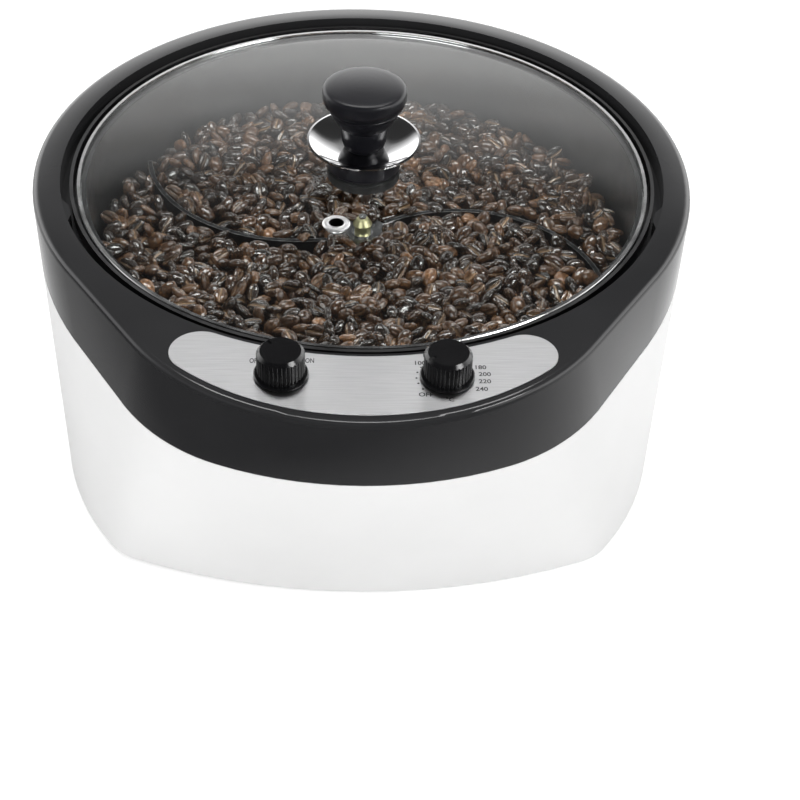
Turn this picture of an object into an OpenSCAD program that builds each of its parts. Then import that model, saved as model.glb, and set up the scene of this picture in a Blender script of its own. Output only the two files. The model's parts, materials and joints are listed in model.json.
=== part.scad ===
// Home coffee bean roaster: a round electric roasting pan in a black and white body,
// with a lift-off glass lid, a motor-driven stirrer and two knobs on a steel console plate.
// Millimetres. The origin is on the pan's axis at table level, +Z is up and -Y is the front.

/* [Body] */
// Radius of the round part of the body
body_r = 162.5; // [160:0.5:168]
// Height of the deck above the table
body_h = 175; // [170:1:185]
// Rounding of the deck's outer edge
edge_round = 3.5; // [2:0.1:4.5]
// Reach of the console's front edge beyond the round part
console_proud = 30.9; // [27:0.1:36]
// Radius of the console's front arc
console_r = 123.3; // [118:0.1:130]
// Set-back of the foot of the body's front from the round part
base_setback = 32; // [25:0.5:36]
// Radius of the shallow arc across the foot of the front
base_front_r = 320; // [280:5:400]
// Radius of the corners where that arc meets the round part
base_corner_r = 30; // [22:1:38]
// Distance of the seam between black and white below the deck, at the pan's axis
seam_drop = 32; // [28:1:37]
// Slope of the seam, down towards the front, in degrees
seam_slope = 7.2; // [5:0.2:9]
// Gap that shows at the seam
seam_gap = 0.4; // [0.2:0.1:1]
// Wall of the white shell
shell_wall = 2.5; // [2:0.1:3]
// Wall of the black top frame
frame_wall = 2.5; // [2:0.1:3]
// Thickness of the tongue behind the seam
tongue_t = 1.2; // [1:0.1:1.6]
// Height of the tongue that joins the two behind the seam
tongue_h = 5; // [3:0.5:7]
// Play of the tongue in the frame
tongue_gap = 0.2; // [0.15:0.05:0.4]
// Gap between the table and the shell's lower edge
shell_lift = 2; // [1:0.5:3]

/* [Well and pan] */
// Width of the deck round its opening
deck_w = 13.5; // [12.5:0.5:15]
// Wall of the well round the pan
well_wall = 2.3; // [1.8:0.1:3]
// Gap between the deck's opening and the pan's upstanding lip
lip_gap = 4.3; // [3.5:0.1:4.8]
// Width of the pan's flange, on which the lid rests
flange_w = 6; // [5:0.5:9]
// Depth of the pan's floor below the deck
pan_drop = 66; // [60:1:70]
// Thickness of the pan's sheet
pan_t = 1.7; // [1.2:0.1:2]
// Inner corner radius between the pan's wall and floor
pan_corner_r = 8; // [6:0.5:10]
// Depth below the deck of the flange that carries the lid
flange_drop = 8.5; // [7:0.1:10]
// Depth of the lip's top below the deck
lip_drop = 2.5; // [1.5:0.1:4]
// Height of the tube round the shaft above the pan's floor
tube_h = 12; // [9:0.5:13]

/* [Lid] */
// Play of the lid inside the pan's lip
lid_play = 1.4; // [1:0.1:2]
// Height of the rim
lid_rim_h = 5.2; // [4.5:0.1:6]
// Width of the rim's upper lip
lid_rim_lip = 1.9; // [1.5:0.1:3]
// Thickness of the rim's sheet
lid_rim_t = 0.8; // [0.5:0.1:1]
// Rise of the glass dome
glass_rise = 3.1; // [2:0.1:5]
// Radius of the vent's ring
vent_r = 6.6; // [6:0.1:8]
// Radius of the vent's hole
vent_bore_r = 3.4; // [2.5:0.1:4]
// Vent's place on the glass, to the left of the pan's axis
vent_left = 13; // [8:1:20]
// Vent's place on the glass, in front of the pan's axis
vent_front = 51.3; // [45:0.5:60]
// Radius of the handle's grip
grip_r = 20.5; // [18:0.5:23]
// Height of the grip above its dish
grip_h = 34.6; // [32:0.2:40]
// Radius of the handle's polished dish
dish_r = 28; // [25:0.5:32]
// Depth of that dish
dish_depth = 4; // [3:0.5:5]
// Radius of the handle's base on the glass
handle_base_r = 18.3; // [15:0.1:20]
// Height of that base
handle_base_h = 10; // [8:0.5:13]

/* [Console] */
// Distance of each knob from the middle of the console
knob_side = 35; // [33:0.5:37]
// Distance of the knobs in front of the deck's opening
knob_setback = 14.8; // [13.5:0.1:16.4]
// Radius of the ring at the foot of a knob
knob_ring_r = 11.7; // [11:0.1:12.5]
// Radius of a knob's fluted side
knob_r = 10.3; // [9.5:0.1:10.8]
// Height of a knob
knob_h = 13.2; // [12:0.1:16]
// Number of flutes round a knob
knob_flutes = 36; // [24:2:44]
// Gap between a knob and the plate
knob_gap = 0.4; // [0.3:0.1:1]
// Thickness of the console plate
plate_t = 0.8; // [0.5:0.1:1]
// How far the plate stands above the deck
plate_proud = 0.2; // [0.1:0.1:0.4]
// Gap between the plate's inner arc and the opening
plate_inner_margin = 1.8; // [1.5:0.1:2.5]
// Distance of the plate's outer arc from the deck's edge
plate_outer_margin = 4.9; // [4:0.1:6]
// Radius of the plate's round ends
plate_end_r = 13.3; // [12.8:0.1:14]
// Radius of the controls' threaded bushings
bushing_r = 4.5; // [4:0.1:5]
// Radius of the controls' shafts
control_shaft_r = 3; // [2.5:0.1:3.2]
// Direction of the switch knob's pointer at OFF, in degrees
switch_off_angle = 132; // [120:1:140]
// Direction of the thermostat knob's pointer as photographed, in degrees
thermostat_rest_angle = 208; // [200:1:225]

/* [Stirrer] */
// Radius of the disc on the stirrer's hub
disc_r = 14.6; // [13:0.2:17]
// Height of the vanes
vane_h = 19; // [14:0.5:20]
// Thickness of the vanes
vane_t = 2.4; // [1.8:0.1:3.5]
// Gap between the vanes and the pan's floor
vane_clearance = 2.5; // [2:0.1:4]
// Bend radius of the long vane
long_vane_bend = 82; // [76:1:95]
// Gap between the long vane's tip and the pan's wall
long_vane_gap = 5; // [4:0.5:15]
// Direction of the long vane's bend centre, in degrees
long_vane_turn = 114.5; // [110:0.5:120]
// Bend radius of the short vane
short_vane_bend = 70; // [66:1:80]
// Gap between the short vane's tip and the pan's wall
short_vane_gap = 13; // [6:0.5:25]
// Direction of the short vane's bend centre, in degrees
short_vane_turn = 316; // [310:0.5:322]

/* [Drive] */
// Radius of the drive shaft
shaft_r = 4; // [3.5:0.1:4.5]
// Running clearance between a shaft and its bush
running_fit = 0.05; // [0.03:0.01:0.08]
// Module of the fast gear pair
fast_module = 0.6; // [0.55:0.01:0.62]
// Module of the slow gear pair
slow_module = 0.8; // [0.75:0.01:0.82]
// Teeth of each pinion
pinion_teeth = 10; // [10:1:11]
// Teeth of each large gear
wheel_teeth = 50; // [46:1:51]
// Radius of the motor's can
motor_r = 25; // [24:0.5:26]
// Height of the motor's can
motor_h = 24.5; // [22:0.5:27]
// Height of the bracket that carries the gear case
bracket_h = 38; // [36:0.5:44]
// Outer height of the gear case
case_h = 17; // [16.5:0.5:20]

/* [Heater] */
// Radius of the heating ring
heater_r = 88; // [80:1:92]
// Radius of the heating tube
heater_tube_r = 3.3; // [3:0.1:3.8]
// Distance of the heat shield below the pan
shield_gap = 23.3; // [20:0.1:27]
// How much smaller the heat shield is than the pan
shield_margin = 7; // [4:1:15]
// Length of the thermostat's bulb
bulb_length = 51; // [40:1:60]
// Radius of the thermostat's bulb
bulb_r = 3; // [2.5:0.1:3.5]
// Distance of the pan's posts from the axis
post_ring_r = 108; // [102:1:114]

/* [Base] */
// Thickness of the bottom plate
bottom_t = 1.5; // [1:0.1:2]
// Height of the feet
foot_h = 4; // [3.5:0.1:5]
// Radius of the feet
foot_r = 10; // [8:0.5:12]
// Radius of the cord gland's bore
gland_bore_r = 3.4; // [3:0.1:4]
// Height of the gland above the table
gland_z = 26; // [22:1:34]

/* [Hidden] */

$fn = 96;
skin_sides = 120;   // flats round the body's skin
big = 400;
cut = 1;            // how far a cutting tool runs past what it cuts

// radii, from the body's side inwards
opening_r = body_r - deck_w;
lip_r = opening_r - lip_gap - pan_t;
pan_r = lip_r - flange_w;
lid_r = lip_r - lid_play;
shield_r = pan_r - shield_margin;

// heights
seam_h = body_h - seam_drop;
flange_z = body_h - flange_drop;
lip_z = body_h - lip_drop;
pan_floor_z = body_h - pan_drop;
pan_under_z = pan_floor_z - pan_t;
ledge_z = flange_z - pan_t;
ledge_t = 2.5;
bottom_z = foot_h;
floor_z = bottom_z + bottom_t;
bracket_z = floor_z + bracket_h;
case_top_z = bracket_z + case_h;
glass_t = lid_rim_h - 2 * lid_rim_t;
glass_edge_z = flange_z + lid_rim_t + glass_t;
glass_top_z = glass_edge_z + glass_rise;
plate_top_z = body_h + plate_proud;

// deck bosses and their screws
boss_r = 4;
boss_ring_r = opening_r + boss_r - 0.2;
boss_angles = [45, 135, 225, 315];
lug_top_z = seam_h - 25;
boss_depth = 14;       // hole in a boss for its screw
lug_t = 3;
lug_length = deck_w + console_proud;   // long enough to reach the shell's wall, which cuts it off
screw_r = 1.9;
screw_play = 0.2;      // of a hole round a screw's shank
frame_screw_r = 1.5;
screw_head_r = 3.6;
screw_head_h = 2.2;

// posts of the shell that the bottom plate is screwed to
stud_ring_r = body_r - 9.5;
stud_angles = [25, 155, 205, 335];
stud_h = 16;
foot_ring_r = body_r - 24.5;
foot_angles = [40, 140, 218, 322];

// console
console_reach = body_r + console_proud;
console_c = console_reach - console_r;
base_reach = body_r - base_setback;
gland_flange = 2.1;
// from the pan's axis to the middle of the footprint
middle_y = (console_reach - body_r - gland_flange) / 2;
knob_y = -(opening_r + knob_setback);
shaft_top_z = plate_top_z + knob_gap + knob_h - 3;
nut_t = 1.8;
nut_r = 6.4;

// stirrer
tube_r = shaft_r + 2.2;
tube_t = 1.8;
hub_bottom_z = pan_floor_z + 1.5;
hub_h = 17.5;
hub_top_z = hub_bottom_z + hub_h;
hub_r = 11.5;
disc_t = 2.4;
disc_top_z = hub_top_z + disc_t;
thread_r = 2;
washer_r = 5.2;
washer_t = 0.9;
nut_z = disc_top_z + washer_t;
nut_body_h = 4.6;
nut_cone_h = 3.6;
shaft_end_z = nut_z + nut_body_h + nut_cone_h + 1.4;

// gear train: the output gear turns on the pan's axis, the idler behind it, the rotor to the left
slow_distance = slow_module * (pinion_teeth + wheel_teeth) / 2;
fast_distance = fast_module * (pinion_teeth + wheel_teeth) / 2;
idler_at = [0, slow_distance];
rotor_at = [-fast_distance, slow_distance];
bush_r = shaft_r + running_fit + 2.2;
gear_play = 0.16;      // backlash, as a share of the module
tip_share = 0.9;       // height of a tooth above the pitch circle, in modules
root_share = 1.2;      // depth of a tooth below it
case_wall = 2;
case_floor_t = 2.5;
cover_t = 2;
boss_top_z = bracket_z + case_floor_t + 1;
fast_gear_z = boss_top_z;
fast_gear_t = 3.5;
slow_gear_z = fast_gear_z + fast_gear_t + 1;
slow_gear_t = 5;
case_reach = slow_module * wheel_teeth / 2 + 6;
case_x = [rotor_at[0] - case_reach, case_reach];
case_y = [-case_reach, slow_distance + case_reach];
case_corner_r = 6;
case_screw_inset = 5;
pin_r = 1.5;

// bracket under the gear case: two legs with feet
bracket_t = 1.5;
bracket_margin = 4;    // how far it stands out beyond the case
bracket_foot = 14;
bracket_hole = 8;      // from a leg to the holes in its foot

// heater
heater_seat = 0.4;     // gap between the heating tube and the pan
heater_z = pan_under_z - heater_tube_r - heater_seat;
heater_gap_angle = 26;
heater_pin_z = heater_z - 16;
heater_pin_r = 1.8;
heater_sleeve_h = 9;
clip_angles = [60, 180, 300];
clip_stud_r = 2;
clip_ring_r = heater_r - heater_tube_r - clip_stud_r - 2.2;
clip_t = 1.5;
post_angles = [90, 210, 330];
post_r = 6;
post_neck_r = 3.5;

shield_z = pan_under_z - shield_gap;
shield_t = 0.8;
shield_rim_h = 14;
shield_bore_r = 11;
bulb_start = [-20, -62, pan_under_z - bulb_r - 0.1];
bulb_end = bulb_start + [bulb_length, 0, 0];
capillary_r = 0.9;
capillary_hole = bulb_end + [10, 0, shield_z - 4 - bulb_start[2]];   // where it goes down through the shield

// controls
console_pad_t = 1.5;   // thickening of the deck under the controls
control_depth = 20;
controls_top_z = body_h - frame_wall - console_pad_t;
controls_bottom_z = controls_top_z - control_depth;

// handle
dish_z = glass_top_z + handle_base_h;
dish_t = 1;
grip_foot_r = 9.2;
handle_screw_r = 2.5;
handle_head_r = 4.6;
handle_head_h = 2.6;
handle_washer_t = 4.4;      // rubber disc under the glass, with a recess for the screw's head
handle_washer_z = glass_top_z - glass_t - handle_washer_t;
handle_head_z = handle_washer_z + handle_head_h + 0.2;

// wiring
terminal_at = concat((body_r - 30.4) * [cos(58), sin(58)], floor_z);
terminal_size = [42, 16];
wire_rise = 60;
wire_drop = heater_pin_z - 50;
between = (body_r + post_ring_r) / 2;   // from the axis to midway between the posts and the shell
thermostat_bend = [between + 34.75, -(body_r - 32.5), floor_z + 29.5];
switch_bend = [between + 54.75, -(body_r + 27.5), floor_z + 24.5];
terminal_pitch = 6.5;
terminal_depth = 4;
terminal_h = 12;
wire_r = 1.1;

// ---------------------------------------------------------------- helpers

function unit(v) = v / norm(v);
function arc(c, r, a0, a1, n) = [for (i = [0:n]) c + r * [cos(a0 + (a1 - a0) * i / n), sin(a0 + (a1 - a0) * i / n)]];
function glass_height(r) = glass_edge_z + glass_rise * (1 - pow(r / (lid_r - lid_rim_lip), 2));

// Places its children on a ring round the pan's axis
module on_ring(r, angles) {
    for (a = angles) rotate([0, 0, a]) translate([r, 0, 0]) children();
}

module tube(outer, inner, z0, z1) {
    translate([0, 0, z0]) difference() {
        cylinder(r = outer, h = z1 - z0);
        translate([0, 0, -1]) cylinder(r = inner, h = z1 - z0 + 2);
    }
}

module rod(r, z0, z1) {
    translate([0, 0, z0]) cylinder(r = r, h = z1 - z0);
}

// Screw from below: its head's underside lies under z0 and its shank runs up to z1
module screw(r, z0, z1) {
    rod(r, z0, z1);
    translate([0, 0, z0 - screw_head_h]) cylinder(r1 = screw_head_r * 0.8, r2 = screw_head_r, h = screw_head_h);
}

// Moves what is drawn round the pan's axis so that the origin lies under the middle of the whole
module on_axis() { translate([0, middle_y, 0]) children(); }

function facing(t) = [cos(t), sin(t)];

// Point of the deck's outline that faces t: a circle, with a smaller one in front of it
function deck_point(t, inset) =
    sin(t) < -(body_r - console_r) / console_c
        ? [0, -console_c] + (console_r - inset) * facing(t)
        : (body_r - inset) * facing(t);

// Centre of the right-hand corner between the round part's foot and the shallow front arc
foot_front_c = [0, base_front_r - base_reach];
foot_corner_y = (pow(body_r - base_corner_r, 2) - pow(base_front_r - base_corner_r, 2) + pow(foot_front_c[1], 2))
    / (2 * foot_front_c[1]);
foot_corner_c = [sqrt(pow(body_r - base_corner_r, 2) - pow(foot_corner_y, 2)), foot_corner_y];

// Point of the foot's outline that faces t
function foot_point(t, inset) =
    sin(t) > unit(foot_corner_c)[1]
        ? (body_r - inset) * facing(t)
        : sin(t) < unit(foot_corner_c - foot_front_c)[1]
            ? foot_front_c + (base_front_r - inset) * facing(t)
            : [sign(cos(t)) * foot_corner_c[0], foot_corner_c[1]] + (base_corner_r - inset) * facing(t);

// Section of the body's skin at height z, pulled in by inset
function skin_ring(z, inset) = [for (k = [0:skin_sides - 1])
    let (
        t = k * 360 / skin_sides,
        a = deck_point(t, inset),
        b = foot_point(t, inset),
        s = (body_h - edge_round - z) / (body_h - edge_round - shell_lift)
    )
    [a[0] + (b[0] - a[0]) * s, a[1] + (b[1] - a[1]) * s, z]];

// Solid through rings of equally many points, from the lowest to the highest
module loft(rings) {
    n = len(rings[0]);
    top = (len(rings) - 1) * n;
    polyhedron(
        points = [for (ring = rings, p = ring) p],
        faces = concat(
            [[for (k = [0:n - 1]) k]],
            [for (i = [0:len(rings) - 2], k = [0:n - 1])
                let (a = i * n + k, b = i * n + (k + 1) % n) [b, a, a + n, b + n]],
            [[for (k = [n - 1:-1:0]) top + k]]));
}

// The body's outer form with the rounded edge of its deck
module skin() {
    loft(concat([skin_ring(shell_lift, 0)],
        [for (q = [0:22.5:90]) skin_ring(body_h - edge_round * (1 - sin(q)), edge_round * (1 - cos(q)))]));
}

// The same form without the rounding, pulled in by inset
module core(inset, z0, z1) { loft([skin_ring(z0, inset), skin_ring(z1, inset)]); }

// Half spaces above and below the seam, moved up by lift
module seam_frame(lift) { translate([0, 0, seam_h + lift]) rotate([seam_slope, 0, 0]) children(); }
module above_seam(lift) { seam_frame(lift) translate([-big / 2, -big / 2, 0]) cube([big, big, big]); }
module below_seam(lift) { seam_frame(lift) translate([-big / 2, -big / 2, -big]) cube([big, big, big]); }

module slot(length, width) {
    square([length - width, width], center = true);
    for (s = [-1, 1]) translate([s * (length - width) / 2, 0]) circle(d = width, $fn = 24);
}

// Spur gear outline; a tooth's middle lies on the X axis
module gear_outline(teeth, m) {
    pitch = teeth * m / 2;
    tip = pitch + tip_share * m;
    root = pitch - root_share * m;
    half = 90 / teeth - gear_play * m / pitch * 90 / PI;
    tip_half = half - atan(tan(20) * tip_share * m / pitch);
    low_half = teeth < 20 ? half : half + atan(tan(20) * root_share * m / pitch * 0.8);
    flank = [[root, -low_half], [pitch, -half], [tip, -tip_half], [tip, tip_half], [pitch, half], [root, low_half]];
    polygon([for (i = [0:teeth - 1], k = flank)
        k[0] * [cos(i * 360 / teeth + k[1]), sin(i * 360 / teeth + k[1])]]);
}

// Tube of radius r swept along points, with flat ends
module swept(points, r, sides = 8) {
    last = len(points) - 1;
    function along(i) = unit(points[min(i + 1, last)] - points[max(i - 1, 0)]);
    function across(i) = unit(cross(along(i), [0.31, 0.12, 0.94]));
    ring_points = [for (i = [0:last], s = [0:sides - 1])
        points[i] + r * (cos(s * 360 / sides) * across(i) + sin(s * 360 / sides) * cross(along(i), across(i)))];
    walls = [for (i = [0:last - 1], s = [0:sides - 1], half = [0, 1])
        let (a = i * sides + s, b = i * sides + (s + 1) % sides)
        half == 0 ? [a, a + sides, b] : [b, a + sides, b + sides]];
    start = [[for (s = [0:sides - 1]) s]];
    finish = [[for (s = [sides - 1:-1:0]) last * sides + s]];
    polyhedron(points = ring_points, faces = concat(walls, start, finish));
}

// Place of the heating tube's end on side s
function heater_end(s) = concat(heater_r * facing(90 + s * heater_gap_angle / 2), [0]);

// Smooth curve from a to d that leaves along b and arrives along c
function bend(a, b, c, d, n) = [for (i = [0:n]) let (t = i / n, u = 1 - t)
    u * u * u * a + 3 * u * u * t * b + 3 * u * t * t * c + t * t * t * d];

// ---------------------------------------------------------------- body

module outer_shell() {
    thick_h = 5;
    inner = shell_wall + tongue_gap + tongue_t;
    low = shell_lift - 1;
    color("white") on_axis() difference() {
        union() {
            difference() {
                union() {
                    intersection() { core(0, shell_lift, body_h); below_seam(-seam_gap / 2); }
                    intersection() { core(frame_wall + tongue_gap, shell_lift + 1, body_h); below_seam(tongue_h); }
                }
                intersection() { core(shell_wall, low, body_h); below_seam(-thick_h); }
                core(inner, low, body_h + 1);
            }
            intersection() {
                on_ring(boss_ring_r, boss_angles) translate([-6, -7, lug_top_z - lug_t]) cube([lug_length, 14, lug_t]);
                core(shell_wall / 2, shell_lift, body_h);
            }
            on_ring(stud_ring_r, stud_angles) {
                rod(4.5, floor_z, floor_z + stud_h);
                translate([0, -1.5, floor_z]) cube([body_r - stud_ring_r - shell_wall / 2, 3, stud_h]);
            }
        }
        on_ring(boss_ring_r, boss_angles) rod(screw_r + screw_play, lug_top_z - lug_t - 1, lug_top_z + 1);
        on_ring(stud_ring_r, stud_angles) rod(screw_r, floor_z - 1, floor_z + stud_h - 3);
        translate([0, body_r, gland_z]) rotate([90, 0, 0]) cylinder(r = gland_bore_r + 2.1, h = 12, center = true);
        for (i = [-5:5]) if (abs(i) > 1) rotate([0, 0, 90 + i * 4.5])
            translate([body_r - 8, -1.25, gland_z + 20]) cube([16, 2.5, 26]);
    }
}

module console_outline(inner_r, outer_inset, end_r) {
    d1 = inner_r + end_r;
    d2 = console_r - outer_inset - end_r;
    u = (d1 * d1 - d2 * d2 + console_c * console_c) / (2 * console_c);
    c = [sqrt(d1 * d1 - u * u), -u];
    f = [0, -console_c] + 1.3 * (c + [0, console_c]);
    intersection() {
        difference() {
            translate([0, -console_c]) circle(r = console_r - outer_inset);
            circle(r = inner_r);
        }
        polygon([[0, 0], c, f, [f[0], -big], [-f[0], -big], [-f[0], f[1]], [-c[0], c[1]]]);
    }
    for (s = [-1, 1]) translate([s * c[0], c[1]]) circle(r = end_r);
}

module top_frame() {
    recess_gap = 0.15;
    rib_angle = [-16, -164];
    color("#2b2b2d") on_axis() difference() {
        union() {
            difference() {
                intersection() { skin(); above_seam(seam_gap / 2); }
                core(frame_wall, shell_lift, body_h - frame_wall);
            }
            tube(opening_r + well_wall, opening_r - 1, ledge_z - ledge_t, body_h - 1);
            tube(opening_r + 1, pan_r + pan_t + 1.2, ledge_z - ledge_t, ledge_z);
            on_ring(boss_ring_r, boss_angles) rod(boss_r, lug_top_z, body_h - 1);
            for (s = [-1, 1]) translate([s * knob_side, knob_y, 0])
                rod(9, controls_top_z, body_h - 1);
        }
        rod(opening_r, ledge_z, body_h + 1);
        on_ring(boss_ring_r, boss_angles) rod(frame_screw_r, lug_top_z - cut, lug_top_z + boss_depth);
        translate([0, 0, plate_top_z - plate_t]) linear_extrude(plate_t + 1)
            console_outline(opening_r + plate_inner_margin - recess_gap, plate_outer_margin - recess_gap,
                plate_end_r + recess_gap);
        for (s = [-1, 1]) translate([s * knob_side, knob_y, 0]) rod(bushing_r + 0.1, body_h - 10, body_h + 1);
    }
    color("#2b2b2d") on_axis() for (a = rib_angle) rotate([0, 0, a]) translate([0, 0, ledge_z])
        linear_extrude(flange_drop - lip_drop + 1.5)
            polygon([[opening_r + 0.5, -12], [opening_r + 0.5, 12], [opening_r - 2.9, 4], [opening_r - 2.9, -4]]);
}

module console_plate() {
    color("silver") on_axis() difference() {
        translate([0, 0, plate_top_z - plate_t]) linear_extrude(plate_t)
            console_outline(opening_r + plate_inner_margin, plate_outer_margin, plate_end_r);
        for (s = [-1, 1]) translate([s * knob_side, knob_y, 0]) rod(bushing_r + 0.1, body_h - 5, body_h + 5);
    }
}

module bottom_plate() {
    vent_pitch = 9;
    color("#b9bcc0") on_axis() difference() {
        translate([0, 0, bottom_z]) linear_extrude(bottom_t)
            polygon([for (k = [0:skin_sides - 1]) foot_point(k * 360 / skin_sides, shell_wall + 0.4)]);
        for (s = [-1, 1], i = [-4:4], j = [0, 1])
            translate([s * 86, 6 + i * vent_pitch, bottom_z - 1]) linear_extrude(bottom_t + 2)
                translate([(j - 0.5) * 34, 0]) slot(28, 3.6);
        on_ring(stud_ring_r, stud_angles) rod(screw_r + screw_play, bottom_z - 1, floor_z + 1);
        on_ring(foot_ring_r, foot_angles) rod(2.5, bottom_z - 1, floor_z + 1);
        on_ring(post_ring_r, post_angles) rod(screw_r + screw_play, bottom_z - 1, floor_z + 1);
        bracket_places() rod(screw_r + screw_play, bottom_z - 1, floor_z + 1);
    }
}

module feet() {
    color("#1c1c1c") on_axis() on_ring(foot_ring_r, foot_angles) {
        rotate_extrude() polygon([[0, 0], [foot_r - 1.5, 0], [foot_r, 1], [foot_r - 0.5, foot_h], [0, foot_h]]);
        rod(2.45, foot_h - 0.5, floor_z);
        rod(3.4, floor_z, floor_z + 1.2);
    }
}

module base_screws() {
    color("silver") on_axis() on_ring(stud_ring_r, stud_angles) screw(screw_r, bottom_z, floor_z + 10);
}

module frame_screws() {
    color("silver") on_axis() on_ring(boss_ring_r, boss_angles)
        screw(frame_screw_r, lug_top_z - lug_t, lug_top_z + boss_depth - 2);
}

module cord_gland() {
    inner_y = body_r - shell_wall - 4;
    color("#1c1c1c") on_axis() translate([0, 0, gland_z]) rotate([-90, 0, 0]) difference() {
        union() {
            rod(gland_bore_r + 2, inner_y, body_r + 1);
            translate([0, 0, body_r + 0.05]) cylinder(r1 = 8.2, r2 = 7.2, h = gland_flange - 0.05);
            rod(7.4, inner_y - 1.5, body_r - shell_wall - 0.3);
        }
        rod(gland_bore_r, inner_y - 5, body_r + 5);
    }
}

// ---------------------------------------------------------------- pan and heater

module roasting_pan() {
    corner = [pan_r - pan_corner_r, pan_floor_z + pan_corner_r];
    inside = concat(
        [[lip_r, lip_z], [lip_r, flange_z], [pan_r, flange_z]],
        arc(corner, pan_corner_r, 0, -90, 8),
        [[tube_r + tube_t, pan_floor_z], [tube_r + tube_t, pan_floor_z + tube_h]]);
    outside = concat(
        [[tube_r, pan_floor_z + tube_h], [tube_r, pan_under_z]],
        arc(corner, pan_corner_r + pan_t, -90, 0, 8),
        [[pan_r + pan_t, ledge_z], [lip_r + pan_t, ledge_z], [lip_r + pan_t, lip_z]]);
    color("#3a3a3c") on_axis() rotate_extrude() polygon(concat(inside, outside));
}

module pan_posts() {
    color("silver") on_axis() on_ring(post_ring_r, post_angles) difference() {
        union() {
            rod(post_r, floor_z, shield_z);
            rod(post_neck_r, shield_z, pan_under_z);
        }
        rod(screw_r, floor_z - 1, floor_z + 12);
    }
}

module post_screws() {
    color("silver") on_axis() on_ring(post_ring_r, post_angles) screw(screw_r, bottom_z, floor_z + 10);
}

// Ring of heating tube; each end has a sleeve with a terminal pin that points down
module heating_ring() {
    sleeve_r = heater_tube_r + heater_seat;
    color("#8a8d90") on_axis() {
        translate([0, 0, heater_z]) rotate([0, 0, 90 + heater_gap_angle / 2])
            rotate_extrude(angle = 360 - heater_gap_angle) translate([heater_r, 0]) circle(r = heater_tube_r, $fn = 32);
        for (s = [-1, 1]) translate(heater_end(s)) {
            rod(sleeve_r, heater_z - heater_sleeve_h, pan_under_z);
            rod(heater_pin_r, heater_pin_z, heater_z - heater_sleeve_h + cut);
        }
    }
}

module heater_clips() {
    inner = clip_ring_r - 5;
    color("silver") on_axis() for (a = clip_angles) rotate([0, 0, a]) difference() {
        union() {
            translate([inner, -5, heater_z - heater_tube_r - clip_t]) cube([heater_r + 6 - inner, 10, clip_t]);
            translate([inner, -5, heater_z - heater_tube_r]) cube([2, 10, heater_tube_r * 2]);
        }
        translate([clip_ring_r, 0, 0]) rod(clip_stud_r + 0.1, heater_z - 12, heater_z);
    }
}

module clip_studs() {
    color("silver") on_axis() on_ring(clip_ring_r, clip_angles)
        rod(clip_stud_r, heater_z - heater_tube_r - clip_t - 4, pan_under_z);
}

module clip_nuts() {
    nut_top = heater_z - heater_tube_r - clip_t;
    color("silver") on_axis() on_ring(clip_ring_r, clip_angles) difference() {
        translate([0, 0, nut_top - 3]) cylinder(r = 4, h = 3, $fn = 6);
        rod(clip_stud_r, nut_top - 5, nut_top + 1);
    }
}

// Shallow tray under the heating ring
module heat_shield() {
    rim_z = shield_z + shield_rim_h;
    inner_r = shield_r - shield_t;
    color("#c8cacc") on_axis() difference() {
        rotate_extrude() polygon([[shield_bore_r, shield_z], [shield_r, shield_z], [shield_r, rim_z],
            [inner_r, rim_z], [inner_r, shield_z + shield_t], [shield_bore_r, shield_z + shield_t]]);
        on_ring(post_ring_r, post_angles) shield_hole(post_neck_r + 0.1);
        for (s = [-1, 1]) translate(heater_end(s)) shield_hole(heater_pin_r + 3.2);
        translate([capillary_hole[0], capillary_hole[1], 0]) shield_hole(capillary_r + 2.6);
    }
}

module shield_hole(r) { rod(r, shield_z - cut, shield_z + shield_t + cut); }

// Bulb under the pan with its capillary, which bends down through the shield and up to the thermostat
module sensing_bulb() {
    head = [knob_side + 4, knob_y + 4, controls_bottom_z - capillary_r / 2];
    down = capillary_hole;
    points = concat(
        bend(bulb_end - [cut, 0, 0], bulb_end + [13, 0, 0], down + [0, 0, shield_gap - 1.3], down, 8),
        bend(down - [0, 3, 8], down - [0, 63, 26], [down[0], knob_y + 21.8, shield_z - 10], head, 12));
    color("#c98a4b") on_axis() {
        translate(bulb_start) rotate([0, 90, 0]) cylinder(r = bulb_r, h = bulb_length, $fn = 32);
        swept(points, capillary_r);
    }
}

module thermal_fuse() {
    color("#d9d2c0") on_axis() translate([-20, -74, pan_under_z]) {
        translate([-9, -4, -1.2]) cube([18, 8, 1.2]);
        translate([-8, 0, -3.4]) rotate([0, 90, 0]) cylinder(r = 2.5, h = 16, $fn = 32);
    }
}

// ---------------------------------------------------------------- drive

module bracket_places() {
    out = bracket_margin + bracket_hole;
    for (x = [case_x[0] - out, case_x[1] + out], y = [-bracket_hole, slow_distance + bracket_hole])
        translate([x, y, 0]) children();
}

module motor_bracket() {
    t = bracket_t;
    x0 = case_x[0] - bracket_margin;
    x1 = case_x[1] + bracket_margin;
    y0 = case_y[0] - 2;
    depth = case_y[1] - case_y[0] + 4;
    color("#b9bcc0") on_axis() difference() {
        union() {
            translate([x0, y0, bracket_z - t]) cube([x1 - x0, depth, t]);
            for (x = [x0, x1 - t]) translate([x, y0, floor_z]) cube([t, depth, bracket_h]);
            translate([x0 - bracket_foot, y0, floor_z]) cube([bracket_foot + t, depth, t]);
            translate([x1 - t, y0, floor_z]) cube([bracket_foot + t, depth, t]);
        }
        translate([rotor_at[0], rotor_at[1], 0]) rod(motor_r + 0.5, bracket_z - 5, bracket_z + 5);
        bracket_places() rod(screw_r + screw_play, floor_z - 1, floor_z + 5);
        case_screw_places() rod(pin_r, bracket_z - 5, bracket_z + 1);
    }
}

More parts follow.
